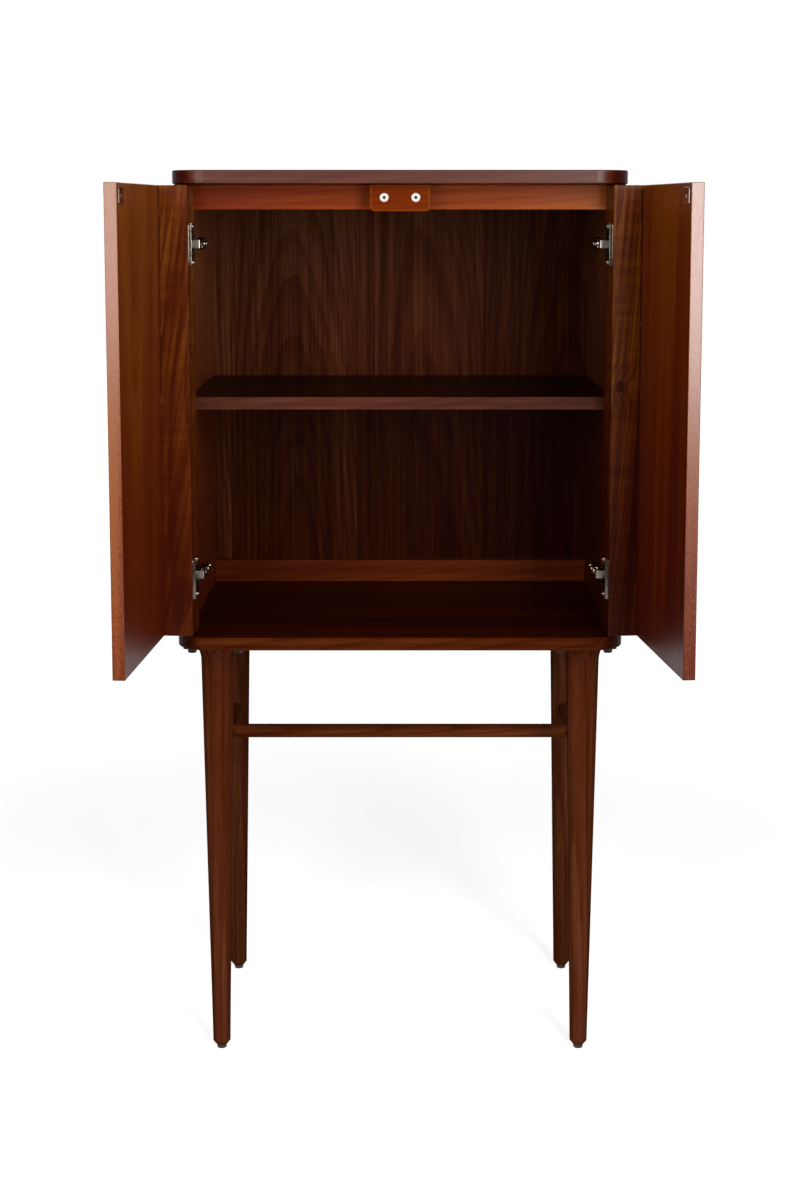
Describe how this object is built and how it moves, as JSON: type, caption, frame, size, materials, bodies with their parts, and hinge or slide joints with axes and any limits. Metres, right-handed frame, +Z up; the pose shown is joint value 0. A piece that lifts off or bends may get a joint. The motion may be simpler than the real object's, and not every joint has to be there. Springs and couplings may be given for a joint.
{
  "type": "bar cabinet",
  "caption": "Walnut bar cabinet on tall turned legs, with an inner shelf and two hinged doors whose thick curved stiles form the front corners and close on a magnet catch.",
  "frame": {"origin": "on the floor in the plane of the four glides, at the middle of the cabinet's footprint with its doors open as stored; the middle of the case is 121.5 mm behind it", "axes": "+Z up, +X to the right seen from the front, and the front with its doors faces -Y"},
  "size_m": [0.7148, 0.6534, 1.238],
  "materials": {
    "case_walnut": "oiled dark walnut veneer, satin",
    "back_walnut": "dark walnut veneer, satin",
    "rail_walnut": "reddish stained solid wood, satin",
    "leaf_walnut": "walnut veneer, satin",
    "stile_walnut": "figured solid walnut, satin",
    "leg_walnut": "solid walnut, oiled",
    "beech": "bare beech",
    "nickel_plate": "bright nickel plate",
    "dark_steel": "black painted steel, satin",
    "zinc_steel": "bright zinc plate",
    "black_plastic": "moulded nylon"
  },
  "bodies": {
    "carcass": {"top_panel": "case_walnut", "base_panel": "case_walnut", "side_panel_left": "case_walnut", "side_panel_right": "case_walnut", "shelf": "case_walnut", "back_panel": "back_walnut", "front_top_rail": "rail_walnut", "back_top_rail": "rail_walnut", "back_bottom_rail": "rail_walnut", "magnet_block": "rail_walnut", "leg_front_left": "leg_walnut", "leg_front_right": "leg_walnut", "leg_back_left": "leg_walnut", "leg_back_right": "leg_walnut", "side_stretcher_left": "leg_walnut", "side_stretcher_right": "leg_walnut", "cross_stretcher": "leg_walnut", "case_dowels": "beech", "rail_dowels": "beech", "hinge_arm_upper_left": "nickel_plate", "hinge_arm_upper_right": "nickel_plate", "hinge_arm_lower_left": "nickel_plate", "hinge_arm_lower_right": "nickel_plate", "hinge_plate_upper_left": "nickel_plate", "hinge_plate_upper_right": "nickel_plate", "hinge_plate_lower_left": "nickel_plate", "hinge_plate_lower_right": "nickel_plate", "plate_screws": "nickel_plate", "arm_screws": "nickel_plate", "catch_magnets": "nickel_plate", "shelf_pins": "nickel_plate", "magnet_screws": "dark_steel", "leg_plate_front_left": "dark_steel", "leg_plate_front_right": "dark_steel", "leg_plate_back_left": "dark_steel", "leg_plate_back_right": "dark_steel", "plate_bolts": "dark_steel", "back_screws": "zinc_steel", "block_screws": "zinc_steel", "hanger_bolts": "zinc_steel", "leg_glide_front_left": "black_plastic", "leg_glide_front_right": "black_plastic", "leg_glide_back_left": "black_plastic", "leg_glide_back_right": "black_plastic"},
    "door_left": {"door_leaf_left": "leaf_walnut", "door_stile_left": "stile_walnut", "hinge_cup_upper_left": "nickel_plate", "hinge_cup_lower_left": "nickel_plate", "cup_screws_left": "nickel_plate", "hinge_pins_left": "nickel_plate", "strike_plate_left": "dark_steel", "strike_screw_left": "nickel_plate"},
    "door_right": {"door_leaf_right": "leaf_walnut", "door_stile_right": "stile_walnut", "hinge_cup_upper_right": "nickel_plate", "hinge_cup_lower_right": "nickel_plate", "cup_screws_right": "nickel_plate", "hinge_pins_right": "nickel_plate", "strike_plate_right": "dark_steel", "strike_screw_right": "nickel_plate"}
  },
  "joints": [
    {"name": "left_door_hinge", "type": "hinge", "parent": "carcass", "child": "door_left", "pos_m": [-0.29, -0.041, 0.9145], "axis": [0, 0, 1], "range_deg": [-6, 94]},
    {"name": "right_door_hinge", "type": "hinge", "parent": "carcass", "child": "door_right", "pos_m": [0.29, -0.041, 0.9145], "axis": [0, 0, -1], "range_deg": [-4, 96]}
  ]
}
